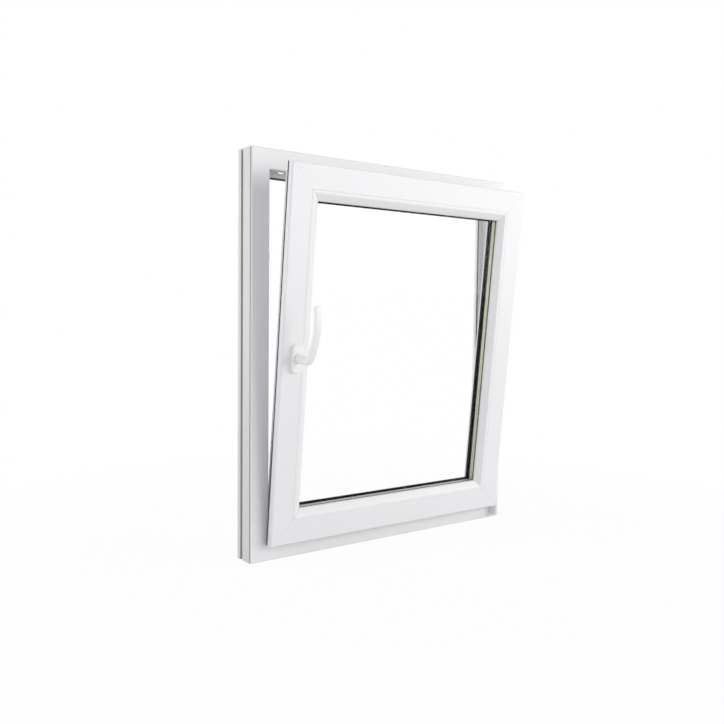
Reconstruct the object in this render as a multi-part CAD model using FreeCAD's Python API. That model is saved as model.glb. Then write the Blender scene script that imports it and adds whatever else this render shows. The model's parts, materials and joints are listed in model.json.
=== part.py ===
import FreeCAD, Part
import math
import os
from FreeCAD import Vector

# A tilt and turn window with one sash, hinged on the right and seen from the room.
# X runs to the right, Y runs from the room to the open air, Z runs up.
# The origin is the middle of the sill's underside. The sash stands tilted in, its handle up.
# Sections are drawn across, in from a member's outer edge, and deep, back from its room side.

# Outer frame
frame_width = 900.0
frame_height = 1050.0
frame_depth = 70.0
frame_face = 52.0
stop_height = 18.0
rebate_depth = 45.0
frame_edge_radius = 2.5
stop_edge_radius = 1.0
stop_slope_width = 14.0
stop_slope_depth = 20.0
wall_groove_width = 11.0
wall_groove_depth = 14.0
wall_groove_setback = 16.0
trim_groove_width = 4.0
trim_groove_depth = 4.0
trim_groove_setback = 4.0

# Sash
sash_face = 62.0
sash_overlap = 10.0
hardware_gap = 12.0
lip_thickness = 16.0
lip_clearance = 12.0
lip_radius = 4.0
lip_back_radius = 0.8
leg_slope = 5.0
leg_radius = 3.0
run_clearance = 5.0

# Glazing
bead_width = 27.0
bead_flat = 9.0
bead_nose_depth = 13.0
bead_shoulder_radius = 9.0
bead_nose_radius = 5.0
bead_line_radius = 1.2
pane_thickness = 4.0
cavity = 16.0
glass_setback = 20.0
glass_edge_gap = 8.0
spacer_inset = 8.0
gasket_cover = 7.0
gasket_show = 1.5
outer_gasket = 4.0
outer_gasket_show = 3.5
outer_gasket_lap = 4.0
outer_gasket_taper = 1.0

# Seals
stop_seal_width = 5.0
stop_seal_edge = 0.5
stop_seal_proud = 3.0
lip_seal_width = 6.0
lip_seal_edge = 0.5
lip_seal_proud = 6.5
lip_seal_taper = 1.0
lip_seal_radius = 1.5
seal_root_width = 3.0
seal_root_depth = 4.0

# Locking gear
plate_width = 16.0
plate_thickness = 3.0
plate_setback = 22.0
plate_joint = 0.5
gear_groove_width = 12.0
gear_groove_depth = 7.0
gear_travel = 36.0
corner_leg = 130.0
head_cam_reach = 27.0
sill_cam_reach = 55.0
jamb_cam_reach = 75.0
cam_radius = 3.5
cam_head_height = 6.7
cam_chamfer = 0.8
cam_lift = 0.3
cam_stem_radius = 2.0
slot_clearance = 0.6

# Keeps on the frame
keep_length = 62.0
keep_width = 18.0
keep_corner = 3.0
keep_base = 2.0
keep_height = 6.5
keep_claw_length = 24.0
keep_claw_ramp = 4.0
keep_claw_gap = 0.4
keep_wall = 2.5

# Hinges and stay
tilt_angle = 5.6
turn_axis_out = 12.0
turn_axis_front = 20.0
tilt_axis_height = 48.0
knuckle_radius = 6.0
knuckle_length = 28.0
pin_radius = 3.2
pin_clearance = 0.3
hinge_plate_thickness = 3.0
hinge_plate_width = 22.0
hinge_plate_height = 28.0
hinge_plate_shift = 13.0
hinge_plate_edge = 7.0
hinge_plate_corner = 3.0
boss_setback = 4.0
boss_width = 14.0
boss_front = 6.0
boss_radius = 4.0
stub_depth = 8.0
strap_thickness = 4.0
strap_width = 12.0
strap_length = 80.0
stay_length = 380.0
stay_width = 12.0
stay_thickness = 3.0
stay_clearance = 4.0
stay_plate_drop = 4.0
stay_leaf_thickness = 2.5
stay_leaf_height = 7.5
stay_pin_radius = 3.0
stay_pin_drop = 10.0
stay_slot_length = 28.0
stay_slot_clearance = 1.5

# Handle
handle_inset = 44.5
handle_rise = 3.5
rosette_width = 33.0
rosette_height = 74.0
rosette_thickness = 9.0
rosette_taper = 2.0
rosette_corner = 12.0
neck_radius = 11.5
neck_clearance = 0.4
neck_reach = 52.0
neck_chamfer = 3.0
lever_length = 137.0
lever_width = 19.0
lever_tip_width = 16.5
lever_thickness = 12.5
lever_bevel = 3.0
lever_tip_chamfer = 1.2
lever_root_drop = 8.0
lever_crest = 92.0
lever_reach = 77.0
lever_bow_radius = 160.0
lever_stations = 3
bevel_steps = 2
spindle_side = 7.0
spindle_depth = 24.0
spindle_bore_radius = 6.0

# Drain covers on the outside of the sill
drain_width = 44.0
drain_height = 15.0
drain_proud = 5.0
drain_chamfer = 2.5
drain_spacing = 520.0
drain_rise = 24.0

# How far a cutting body runs past what it cuts
cut_over = 1.0

# Places worked out from the sizes above
room_face = -frame_depth / 2.0
frame_total = frame_face + stop_height
reveal = frame_face - sash_overlap
lip_width = sash_overlap + hardware_gap
sash_width = frame_width - 2.0 * reveal
sash_height = frame_height - 2.0 * reveal
sash_front = room_face - lip_clearance - lip_thickness
sash_depth = lip_thickness + lip_clearance + rebate_depth - stop_seal_proud - run_clearance
sash_right = sash_width / 2.0
window_middle = frame_height / 2.0
glass_back = glass_setback + 2.0 * pane_thickness + cavity
leg_start = glass_back + outer_gasket
sight_line = sash_face + bead_width
glass_edge = sash_face + glass_edge_gap
bead_depth = glass_setback - gasket_show
gasket_start = sight_line + gasket_show - gasket_cover
plate_start = lip_thickness + plate_setback
plate_middle = plate_start + plate_width / 2.0
turn_x = sash_right + turn_axis_out
turn_y = room_face - turn_axis_front
tilt_pivot = Vector(0.0, turn_y, tilt_axis_height)

# Each side is made as the sill and then turned about Y by this many degrees.
SIDES = {"sill": 0.0, "right": -90.0, "head": 180.0, "left": 90.0}
FRAME_NAMES = {
    "sill": "frame_sill", "right": "frame_right_jamb", "head": "frame_head", "left": "frame_left_jamb",
}
SASH_NAMES = {
    "sill": "sash_bottom_rail", "right": "sash_right_stile",
    "head": "sash_top_rail", "left": "sash_left_stile",
}
BEAD_NAMES = {"sill": "bead_bottom", "right": "bead_right", "head": "bead_top", "left": "bead_left"}
RIGHTWARD = Vector(1.0, 0.0, 0.0)
ROOMWARD = Vector(0.0, -1.0, 0.0)
OUTWARD = Vector(0.0, 1.0, 0.0)
UPWARD = Vector(0.0, 0.0, 1.0)


def box(low, high):
    """A block between two opposite corners."""
    size = high - low
    return Part.makeBox(size.x, size.y, size.z, low)


def in_section(across, deep):
    return Vector(0.0, deep, across)


def rounded_face(corners, place=in_section):
    """A flat face through (across, deep, radius) corners, each rounded by its radius."""
    points = [Vector(across, deep, 0.0) for across, deep, _ in corners]
    ends = []
    for index, (_, _, radius) in enumerate(corners):
        here = points[index]
        before = (points[index - 1] - here).normalize()
        after = (points[(index + 1) % len(points)] - here).normalize()
        half = before.getAngle(after) / 2.0
        reach = radius / math.tan(half)
        bisector = (before + after).normalize()
        middle = here + bisector * (radius / math.sin(half) - radius)
        ends.append((here + before * reach, middle, here + after * reach, radius))
    edges = []
    for index, (start, middle, stop, radius) in enumerate(ends):
        first, second, third = [place(point.x, point.y) for point in (start, middle, stop)]
        if radius > 0.0:
            edges.append(Part.Arc(first, second, third).toShape())
        following = ends[(index + 1) % len(ends)][0]
        edges.append(Part.LineSegment(third, place(following.x, following.y)).toShape())
    return Part.Face(Part.Wire(edges))


def rectangle(across, wide, deep, thick, radius=0.0):
    """The corners of a rectangle that starts at (across, deep)."""
    return [
        (across, deep, radius),
        (across + wide, deep, radius),
        (across + wide, deep + thick, radius),
        (across, deep + thick, radius),
    ]


def mitred_bar(corners, length):
    """A profile bar along X, its ends cut at 45 degrees, across rising from Z 0."""
    bar = rounded_face(corners).extrude(RIGHTWARD * length)
    bar.translate(RIGHTWARD * (-length / 2.0))
    rise = max(across for across, _, _ in corners) + cut_over
    deepest = max(deep for _, deep, _ in corners) + cut_over
    shallowest = min(deep for _, deep, _ in corners) - cut_over
    for end in (-1.0, 1.0):
        tip = end * length / 2.0
        outline = [
            Vector(tip, shallowest, 0.0),
            Vector(tip - end * rise, shallowest, rise),
            Vector(tip + end * cut_over, shallowest, rise),
            Vector(tip + end * cut_over, shallowest, 0.0),
        ]
        wedge = Part.Face(Part.makePolygon(outline + outline[:1]))
        bar = bar.cut(wedge.extrude(OUTWARD * (deepest - shallowest)))
    return bar


def to_side(shape, side, width, height, front):
    """Turn a piece made for the sill to another side of a width by height rectangle."""
    half = height / 2.0 if side in ("sill", "head") else width / 2.0
    moved = shape.copy()
    moved.translate(UPWARD * -half)
    moved.rotate(Vector(), OUTWARD, SIDES[side])
    moved.translate(Vector(0.0, front, window_middle))
    return moved


def on_frame(shape, side):
    return to_side(shape, side, frame_width, frame_height, room_face)


def on_sash(shape, side):
    return to_side(shape, side, sash_width, sash_height, sash_front)


def mitred_ring(corners, width, height, front):
    """Four mitred bars of one profile, by side."""
    bars = {}
    for side in SIDES:
        length = width if side in ("sill", "head") else height
        bars[side] = to_side(mitred_bar(corners, length), side, width, height, front)
    return bars


def closed_ring(corners, width, height, front):
    """One endless piece of a profile, such as a seal."""
    bars = list(mitred_ring(corners, width, height, front).values())
    return bars[0].multiFuse(bars[1:]).removeSplitter()


def tilted(shape):
    """Lean a piece of the closed sash in about its lower pivots."""
    moved = shape.copy()
    moved.rotate(tilt_pivot, RIGHTWARD, tilt_angle)
    return moved


def on_turn_axis(radius, low, high):
    """An upright cylinder on the axis that the sash turns about."""
    return Part.makeCylinder(radius, high - low, Vector(turn_x, turn_y, low))


def rims_beyond(shape, direction, distance):
    """The edges of a shape that lie wholly past a distance along a direction."""
    return [
        edge for edge in shape.Edges
        if min(vertex.Point.dot(direction) for vertex in edge.Vertexes) > distance
    ]


# Outer frame members and the seal on their stop
def frame_profile():
    groove_end = frame_depth - wall_groove_setback
    groove_start = groove_end - wall_groove_width
    trim_end = trim_groove_setback + trim_groove_width
    root_start = frame_total - stop_seal_edge - (stop_seal_width + seal_root_width) / 2.0
    root_end = root_start + seal_root_width
    return [
        (0.0, 0.0, frame_edge_radius),
        (frame_face, 0.0, frame_edge_radius),
        (frame_face, rebate_depth, 0.0),
        (root_start, rebate_depth, 0.0),
        (root_start, rebate_depth + seal_root_depth, 0.0),
        (root_end, rebate_depth + seal_root_depth, 0.0),
        (root_end, rebate_depth, 0.0),
        (frame_total, rebate_depth, stop_edge_radius),
        (frame_total, frame_depth - stop_slope_depth, stop_edge_radius),
        (frame_total - stop_slope_width, frame_depth, stop_edge_radius),
        (0.0, frame_depth, frame_edge_radius),
        (0.0, groove_end, 0.0),
        (wall_groove_depth, groove_end, 0.0),
        (wall_groove_depth, groove_start, 0.0),
        (0.0, groove_start, 0.0),
        (0.0, trim_end, 0.0),
        (trim_groove_depth, trim_end, 0.0),
        (trim_groove_depth, trim_groove_setback, 0.0),
        (0.0, trim_groove_setback, 0.0),
    ]


def stop_seal():
    """The seal that the closed sash meets, with its root pushed into the stop."""
    end = frame_total - stop_seal_edge
    start = end - stop_seal_width
    root_start = start + (stop_seal_width - seal_root_width) / 2.0
    root_back = rebate_depth + seal_root_depth
    return closed_ring([
        (root_start, root_back, 0.0),
        (root_start, rebate_depth, 0.0),
        (start, rebate_depth, 0.0),
        (start + stop_seal_width / 2.0, rebate_depth - stop_seal_proud, 0.0),
        (end, rebate_depth, 0.0),
        (root_start + seal_root_width, rebate_depth, 0.0),
        (root_start + seal_root_width, root_back, 0.0),
    ], frame_width, frame_height, room_face)


# Sash members, beads, panes and their seals
def sash_profile():
    root_start = lip_seal_edge + (lip_seal_width - seal_root_width) / 2.0
    root_end = root_start + seal_root_width
    groove_start = plate_middle - gear_groove_width / 2.0
    groove_end = groove_start + gear_groove_width
    recess = lip_width + plate_thickness
    return [
        (0.0, 0.0, lip_radius),
        (sash_face, 0.0, bead_line_radius),
        (sash_face, leg_start, 0.0),
        (sight_line, leg_start, 0.0),
        (sight_line - leg_slope, sash_depth, leg_radius),
        (lip_width, sash_depth, leg_radius),
        (lip_width, plate_start + plate_width, 0.0),
        (recess, plate_start + plate_width, 0.0),
        (recess, groove_end, 0.0),
        (recess + gear_groove_depth, groove_end, 0.0),
        (recess + gear_groove_depth, groove_start, 0.0),
        (recess, groove_start, 0.0),
        (recess, plate_start, 0.0),
        (lip_width, plate_start, 0.0),
        (lip_width, lip_thickness, 0.0),
        (root_end, lip_thickness, 0.0),
        (root_end, lip_thickness - seal_root_depth, 0.0),
        (root_start, lip_thickness - seal_root_depth, 0.0),
        (root_start, lip_thickness, 0.0),
        (0.0, lip_thickness, lip_back_radius),
    ]


def bead_profile():
    return [
        (sash_face, 0.0, bead_line_radius),
        (sash_face + bead_flat, 0.0, bead_shoulder_radius),
        (sight_line, bead_nose_depth, bead_nose_radius),
        (sight_line, bead_depth, 0.0),
        (sash_face, bead_depth, 0.0),
    ]


def inner_glazing_seal():
    profile = rectangle(gasket_start, gasket_cover, bead_depth, glass_setback - bead_depth)
    return closed_ring(profile, sash_width, sash_height, sash_front)


def outer_glazing_seal():
    """The seal between the outer pane and the leg, whose lip laps round the leg's edge."""
    tip = sight_line + outer_gasket_show
    lip_back = leg_start + outer_gasket_lap
    return closed_ring([
        (gasket_start, glass_back, 0.0),
        (tip, glass_back, 0.0),
        (tip - outer_gasket_taper, lip_back, 0.0),
        (sight_line, lip_back, 0.0),
        (sight_line, leg_start, 0.0),
        (gasket_start, leg_start, 0.0),
    ], sash_width, sash_height, sash_front)


def spacer_frame():
    start = glass_edge + spacer_inset
    profile = rectangle(start, sight_line - start, glass_setback + pane_thickness, cavity)
    return closed_ring(profile, sash_width, sash_height, sash_front)


def pane(deep):
    low = Vector(-sash_right + glass_edge, sash_front + deep, reveal + glass_edge)
    high = Vector(-low.x, low.y + pane_thickness, frame_height - low.z)
    return box(low, high)


def lip_seal():
    """The seal on the back edge of the lip, cut away at the corner hinge and the stay."""
    start = lip_seal_edge
    end = start + lip_seal_width
    root_start = start + (lip_seal_width - seal_root_width) / 2.0
    root_front = lip_thickness - seal_root_depth
    nose = lip_thickness + lip_seal_proud
    ring = closed_ring([
        (root_start, root_front, 0.0),
        (root_start + seal_root_width, root_front, 0.0),
        (root_start + seal_root_width, lip_thickness, 0.0),
        (end, lip_thickness, 0.0),
        (end - lip_seal_taper, nose, lip_seal_radius),
        (start, nose, lip_seal_radius),
        (start, lip_thickness, 0.0),
        (root_start, lip_thickness, 0.0),
    ], sash_width, sash_height, sash_front)
    notch_left = sash_right - lip_width - run_clearance
    low = Vector(notch_left, sash_front + lip_thickness, stay_low - run_clearance)
    high = Vector(sash_right, sash_front + nose + cut_over, frame_height - reveal)
    return ring.cut(box(low, high)).cut(hinge_eye())


# Locking gear: face plates, corner drives, cams and keeps
def gear_bar(start, stop):
    """A stretch of face plate along the sill side of the sash, flush in its groove."""
    low = Vector(start, plate_start, lip_width)
    return box(low, Vector(stop, plate_start + plate_width, lip_width + plate_thickness))


def gear_slot(middle, length, half_width):
    """A round ended slot right through a face plate."""
    foot = lip_width - cut_over
    through = plate_thickness + 2.0 * cut_over
    slot = box(
        Vector(middle - length / 2.0, plate_middle - half_width, foot),
        Vector(middle + length / 2.0, plate_middle + half_width, foot + through),
    )
    for end in (-1.0, 1.0):
        centre = Vector(middle + end * length / 2.0, plate_middle, foot)
        slot = slot.fuse(Part.makeCylinder(half_width, through, centre))
    return slot


def cam_slot(locked):
    """The slot that a cam runs in, from its locked place to its place with the handle up."""
    return gear_slot(locked - gear_travel / 2.0, gear_travel, cam_stem_radius + slot_clearance)


def cam(locked):
    """A mushroom cam at its place with the handle up, standing out of the face plate."""
    place = locked - gear_travel
    foot = lip_width - cam_lift
    head = Part.makeCylinder(
        cam_radius, cam_head_height, Vector(place, plate_middle, foot - cam_head_height))
    rim = [edge for edge in head.Edges if edge.BoundBox.ZMax < foot - cam_head_height / 2.0]
    head = head.makeChamfer(cam_chamfer, rim)
    stem_length = cam_lift + plate_thickness + gear_groove_depth / 2.0
    return head.fuse(Part.makeCylinder(cam_stem_radius, stem_length, Vector(place, plate_middle, foot)))


def keep(place):
    """A keep on the rebate floor: a base and a ramped claw on the room side of the cam's path."""
    cam_line = plate_middle - lip_thickness - lip_clearance
    claw_start = cam_line - cam_radius - keep_claw_gap - keep_wall
    half_claw = keep_claw_length / 2.0
    base_corners = rectangle(place - keep_length / 2.0, keep_length, claw_start, keep_width, keep_corner)
    base = rounded_face(base_corners, lambda along, deep: Vector(along, deep, frame_face))
    claw_corners = [
        (place - half_claw, frame_face, 0.0),
        (place + half_claw, frame_face, 0.0),
        (place + half_claw - keep_claw_ramp, frame_face + keep_height, 0.0),
        (place - half_claw + keep_claw_ramp, frame_face + keep_height, 0.0),
    ]
    claw = rounded_face(claw_corners, lambda along, rise: Vector(along, claw_start, rise))
    solid = base.extrude(UPWARD * keep_base).fuse(claw.extrude(OUTWARD * keep_wall))
    return solid.removeSplitter()


# Corner hinge and stay
stay_low = frame_height - reveal - lip_width + stay_clearance
stay_groove_y = sash_front + plate_middle
stay_closed_angle = math.asin((stay_groove_y - turn_y) / stay_length)
stay_pin_x = turn_x - stay_length * math.cos(stay_closed_angle)


def stay_swing():
    """How far the stay swings out, in degrees, when the sash tilts in."""
    tilt = math.radians(tilt_angle)
    sash_top = frame_height - reveal - lip_width - tilt_axis_height
    out = (stay_groove_y - turn_y) * math.cos(tilt) - sash_top * math.sin(tilt)
    return math.degrees(stay_closed_angle - math.asin(out / stay_length))


def hinge_leaf(low, boss_low, boss_high, pin_low, pin_high):
    """A frame leaf: plate on the room face, rounded block round the turning axis and its pin."""
    plate_left = turn_x - hinge_plate_width / 2.0 + hinge_plate_shift
    plate_corners = rectangle(plate_left, hinge_plate_width, low, hinge_plate_height, hinge_plate_corner)
    plate = rounded_face(plate_corners, lambda across, rise: Vector(across, room_face, rise))
    boss_left = turn_x - boss_width / 2.0
    boss_corners = [
        (boss_left, room_face, 0.0),
        (boss_left, turn_y - boss_front, boss_radius),
        (boss_left + boss_width, turn_y - boss_front, boss_radius),
        (boss_left + boss_width, room_face, 0.0),
    ]
    boss = rounded_face(boss_corners, lambda across, deep: Vector(across, deep, boss_low))
    pin = on_turn_axis(pin_radius, pin_low, pin_high)
    solid = plate.extrude(ROOMWARD * hinge_plate_thickness)
    return solid.multiFuse([boss.extrude(UPWARD * (boss_high - boss_low)), pin]).removeSplitter()


def corner_hinge():
    low = hinge_plate_edge
    top = tilt_axis_height - knuckle_length / 2.0
    return hinge_leaf(low, low + boss_setback, top, top, top + knuckle_length)


def tilt_stub(radius, start, stop):
    """A round bar along the axis that the sash tilts about."""
    return Part.makeCylinder(radius, stop - start, Vector(start, turn_y, tilt_axis_height), RIGHTWARD)


def corner_knuckle():
    """The sleeve that turns on the corner pin, with the stub that the sash tilts on."""
    low = tilt_axis_height - knuckle_length / 2.0 + pin_clearance
    sleeve = on_turn_axis(knuckle_radius, low, low + knuckle_length)
    stub = tilt_stub(pin_radius, sash_right - stub_depth, turn_x)
    bore = on_turn_axis(pin_radius + pin_clearance, low - cut_over, low + knuckle_length + cut_over)
    return sleeve.fuse(stub).removeSplitter().cut(bore)


def hinge_eye():
    """The round room that the corner hinge's stub needs in the sash and its strap."""
    start = sash_right - stub_depth - cut_over
    return tilt_stub(pin_radius + pin_clearance, start, sash_right + strap_thickness + cut_over)


def sash_strap():
    low = Vector(sash_right, turn_y - strap_width / 2.0, tilt_axis_height - strap_width / 2.0)
    strap = box(low, low + Vector(strap_thickness, strap_width, strap_length))
    return strap.cut(hinge_eye())


def stay_bracket():
    low = stay_low - stay_plate_drop
    boss_low = stay_low + knuckle_length / 2.0
    return hinge_leaf(low, boss_low, low + hinge_plate_height, boss_low - knuckle_length, boss_low)


def stay_arm():
    """The cranked arm that holds the tilted sash, made closed and then swung out."""
    sleeve_top = stay_low + knuckle_length / 2.0 - pin_clearance
    sleeve_low = sleeve_top - knuckle_length
    leaf_back = room_face - (lip_clearance - stay_leaf_thickness) / 2.0
    leaf_front = leaf_back - stay_leaf_thickness
    leaf_left = sash_right - lip_width
    leaf_top = stay_low + stay_leaf_height
    crank = box(
        Vector(turn_x - stay_leaf_thickness, turn_y, stay_low), Vector(turn_x, leaf_back, leaf_top))
    leaf = box(Vector(leaf_left, leaf_front, stay_low), Vector(turn_x, leaf_back, leaf_top))
    start = Vector(leaf_left + stay_width / 2.0, leaf_front + stay_width / 2.0, stay_low)
    end = Vector(stay_pin_x, stay_groove_y, stay_low)
    along = (start - end).normalize()
    beside = UPWARD.cross(along) * (stay_width / 2.0)
    outline = [start + beside, start - beside, end - beside, end + beside]
    bar = Part.Face(Part.makePolygon(outline + outline[:1])).extrude(UPWARD * stay_thickness)
    tip = Part.makeCylinder(stay_width / 2.0, stay_thickness, end)
    pin = Part.makeCylinder(stay_pin_radius, stay_pin_drop, end - UPWARD * stay_pin_drop)
    arm = on_turn_axis(knuckle_radius, sleeve_low, sleeve_top)
    arm = arm.multiFuse([crank, leaf, bar, tip, pin]).removeSplitter()
    arm = arm.cut(on_turn_axis(pin_radius + pin_clearance, sleeve_low - cut_over, sleeve_top + cut_over))
    arm.rotate(Vector(turn_x, turn_y, 0.0), UPWARD, stay_swing())
    return arm


# Handle, made on the closed sash around its spindle axis
handle_x = -sash_right + handle_inset
handle_height = window_middle + handle_rise


def handle_point(right, out, up):
    return Vector(handle_x + right, sash_front - out, handle_height + up)


def rosette_outline(inset, out):
    corners = rectangle(
        inset - rosette_width / 2.0, rosette_width - 2.0 * inset,
        inset - rosette_height / 2.0, rosette_height - 2.0 * inset, rosette_corner - inset)
    return rounded_face(corners, lambda right, up: handle_point(right, out, up)).OuterWire


def rosette():
    """The rosette: a straight rim, a tapered crown and the bore that the neck turns in."""
    rim = rosette_thickness - rosette_taper
    body = Part.makeLoft([rosette_outline(0.0, 0.0), rosette_outline(0.0, rim)], True)
    crown = Part.makeLoft(
        [rosette_outline(0.0, rim), rosette_outline(rosette_taper, rosette_thickness)], True)
    bore = Part.makeCylinder(
        neck_radius + neck_clearance, rosette_thickness + 2.0 * cut_over,
        handle_point(0.0, -cut_over, 0.0), ROOMWARD)
    return body.fuse(crown).removeSplitter().cut(bore)


def grip_section(width, swing):
    """The grip's section, a rectangle with stepped bevels, swung round the bow from its crest."""
    half = width / 2.0 - lever_bevel
    near = lever_reach + lever_bevel
    far = near + lever_thickness - 2.0 * lever_bevel
    points = []
    corners = ((half, near), (half, far), (-half, far), (-half, near))
    for quarter, (right, out) in enumerate(corners):
        for step in range(bevel_steps + 1):
            angle = math.radians(90.0 * (quarter - 1 + step / bevel_steps))
            points.append(handle_point(
                right + lever_bevel * math.cos(angle), out + lever_bevel * math.sin(angle), lever_crest))
    section = Part.makePolygon(points + points[:1])
    section.rotate(handle_point(0.0, lever_reach - lever_bow_radius, lever_crest), RIGHTWARD, swing)
    return section


def lever():
    """The lever: a round neck and a bowed grip, narrower to its tip, with a square spindle."""
    middle_radius = lever_bow_radius + lever_thickness / 2.0
    root_swing = math.degrees(math.asin((lever_crest + lever_root_drop) / middle_radius))
    tip_swing = -math.degrees(math.asin((lever_length - lever_crest) / middle_radius))
    sections = []
    for station in range(lever_stations + 1):
        share = station / lever_stations
        width = lever_width + share * (lever_tip_width - lever_width)
        sections.append(grip_section(width, root_swing + share * (tip_swing - root_swing)))
    grip = Part.makeLoft(sections, True)
    tip_height = handle_height + (lever_crest + lever_length) / 2.0
    grip = grip.makeChamfer(lever_tip_chamfer, rims_beyond(grip, UPWARD, tip_height))
    neck = Part.makeCylinder(
        neck_radius, neck_reach - neck_clearance, handle_point(0.0, neck_clearance, 0.0), ROOMWARD)
    neck = neck.makeChamfer(neck_chamfer, rims_beyond(neck, ROOMWARD, neck_reach / 2.0 - sash_front))
    half = spindle_side / 2.0
    low = handle_point(-half, rosette_thickness, -half)
    spindle = box(low, handle_point(half, -spindle_depth, half))
    return neck.multiFuse([grip, spindle]).removeSplitter()


def spindle_bore():
    return Part.makeCylinder(
        spindle_bore_radius, spindle_depth + 2.0 * cut_over, handle_point(0.0, cut_over, 0.0), OUTWARD)


def drain_cover(x):
    """A chamfered hood over a drain slot in the outside of the sill."""
    low = Vector(x - drain_width / 2.0, frame_depth / 2.0, drain_rise)
    hood = box(low, low + Vector(drain_width, drain_proud, drain_height))
    return hood.makeChamfer(drain_chamfer, rims_beyond(hood, OUTWARD, low.y + drain_proud / 2.0))


# The frame and the sash with its glazing
nodes = {}
for side, bar in mitred_ring(frame_profile(), frame_width, frame_height, room_face).items():
    nodes[FRAME_NAMES[side]] = bar
nodes["frame_seal"] = stop_seal()

sash_bars = mitred_ring(sash_profile(), sash_width, sash_height, sash_front)
for side in ("right", "sill"):
    sash_bars[side] = sash_bars[side].cut(hinge_eye())
sash_bars["left"] = sash_bars["left"].cut(spindle_bore())
bead_bars = mitred_ring(bead_profile(), sash_width, sash_height, sash_front)
for side in SIDES:
    nodes[SASH_NAMES[side]] = tilted(sash_bars[side])
    nodes[BEAD_NAMES[side]] = tilted(bead_bars[side])
nodes["glass_inner"] = tilted(pane(glass_setback))
nodes["glass_outer"] = tilted(pane(glass_back - pane_thickness))
nodes["glass_spacer"] = tilted(spacer_frame())
nodes["glass_seal_inner"] = tilted(inner_glazing_seal())
nodes["glass_seal_outer"] = tilted(outer_glazing_seal())
nodes["sash_seal"] = tilted(lip_seal())

# Places along a side of the sash run to the right on the sill, up on the right, to the left on
# the head and down on the left. Every cam stands a full travel before its locked place.
side_end = sash_width / 2.0 - lip_width
stile_end = sash_height / 2.0 - lip_width
leg_end = side_end - corner_leg
drop_end = stile_end - corner_leg
top_locked = side_end - head_cam_reach
bottom_locked = -side_end + sill_cam_reach
upper_locked = -drop_end + jamb_cam_reach
lower_locked = drop_end - jamb_cam_reach

stile_plate = gear_bar(-drop_end + plate_joint, drop_end - plate_joint)
for locked in (upper_locked, lower_locked):
    stile_plate = stile_plate.cut(cam_slot(locked))
nodes["stile_face_plate"] = tilted(on_sash(stile_plate, "left"))

stay_slot = gear_slot(-stay_pin_x, stay_slot_length, stay_pin_radius + stay_slot_clearance)
top_plate = gear_bar(-side_end, leg_end - plate_joint).cut(stay_slot)
nodes["top_face_plate"] = tilted(on_sash(top_plate, "head"))
nodes["bottom_face_plate"] = tilted(on_sash(gear_bar(-leg_end + plate_joint, side_end), "sill"))

upper_leg = on_sash(gear_bar(leg_end, side_end).cut(cam_slot(top_locked)), "head")
upper_drop = on_sash(gear_bar(-stile_end, -drop_end), "left")
nodes["corner_drive_upper"] = tilted(upper_leg.fuse(upper_drop).removeSplitter())
lower_leg = on_sash(gear_bar(-side_end, -leg_end).cut(cam_slot(bottom_locked)), "sill")
lower_rise = on_sash(gear_bar(drop_end, stile_end), "left")
nodes["corner_drive_lower"] = tilted(lower_leg.fuse(lower_rise).removeSplitter())

# Each cam with the keep that it locks behind
lock_points = [
    ("stile_cam_upper", "keep_jamb_upper", upper_locked, "left"),
    ("stile_cam_lower", "keep_jamb_lower", lower_locked, "left"),
    ("top_cam", "keep_head", top_locked, "head"),
    ("bottom_cam", "keep_sill", bottom_locked, "sill"),
]
for cam_name, keep_name, locked, side in lock_points:
    nodes[cam_name] = tilted(on_sash(cam(locked), side))
    nodes[keep_name] = on_frame(keep(locked), side)

# Hinges, stay, handle and drain covers
nodes["corner_hinge_bracket"] = corner_hinge()
nodes["corner_hinge_knuckle"] = corner_knuckle()
nodes["sash_hinge_strap"] = tilted(sash_strap())
nodes["stay_hinge_bracket"] = stay_bracket()
nodes["stay_arm"] = stay_arm()
nodes["handle_rosette"] = tilted(rosette())
nodes["handle_lever"] = tilted(lever())
nodes["drain_cover_left"] = drain_cover(-drain_spacing / 2.0)
nodes["drain_cover_right"] = drain_cover(drain_spacing / 2.0)

os.makedirs("parts", exist_ok=True)
for name, shape in nodes.items():
    shape.exportStep("parts/" + name + ".step")
print("The stay swings %.3f degrees for a tilt of %.3f." % (stay_swing(), tilt_angle))
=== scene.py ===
import json
import math

import bmesh
import bpy
from mathutils import Matrix, Vector


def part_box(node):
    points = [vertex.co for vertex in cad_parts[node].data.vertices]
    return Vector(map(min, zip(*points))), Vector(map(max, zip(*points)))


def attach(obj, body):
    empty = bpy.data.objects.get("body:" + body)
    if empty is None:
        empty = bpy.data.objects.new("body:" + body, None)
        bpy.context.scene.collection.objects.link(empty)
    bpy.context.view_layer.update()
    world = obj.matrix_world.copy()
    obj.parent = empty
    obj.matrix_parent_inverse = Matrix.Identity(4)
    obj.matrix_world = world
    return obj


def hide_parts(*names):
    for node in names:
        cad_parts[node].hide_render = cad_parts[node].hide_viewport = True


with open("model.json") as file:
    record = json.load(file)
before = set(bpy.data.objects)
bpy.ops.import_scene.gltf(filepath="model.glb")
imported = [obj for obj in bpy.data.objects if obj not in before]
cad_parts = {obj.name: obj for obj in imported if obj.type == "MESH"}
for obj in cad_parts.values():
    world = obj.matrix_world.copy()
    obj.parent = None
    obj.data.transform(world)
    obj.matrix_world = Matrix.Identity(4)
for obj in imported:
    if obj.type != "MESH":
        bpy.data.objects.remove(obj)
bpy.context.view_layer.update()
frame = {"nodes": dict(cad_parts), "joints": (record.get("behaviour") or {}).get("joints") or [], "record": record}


def rgb(red, green, blue):
    return (red, green, blue, 1.0)


# Lengths are in metres, in the window's own frame: X to the hinge side, Y outwards, Z up.
MM = 0.001
ORIGIN = (0.0, 0.0, 0.0)
TO_ROOM = (0.0, -1.0, 0.0)
UP, DOWN = (0.0, 0.0, 1.0), (0.0, 0.0, -1.0)
LEFT, RIGHT = (-1.0, 0.0, 0.0), (1.0, 0.0, 0.0)

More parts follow.
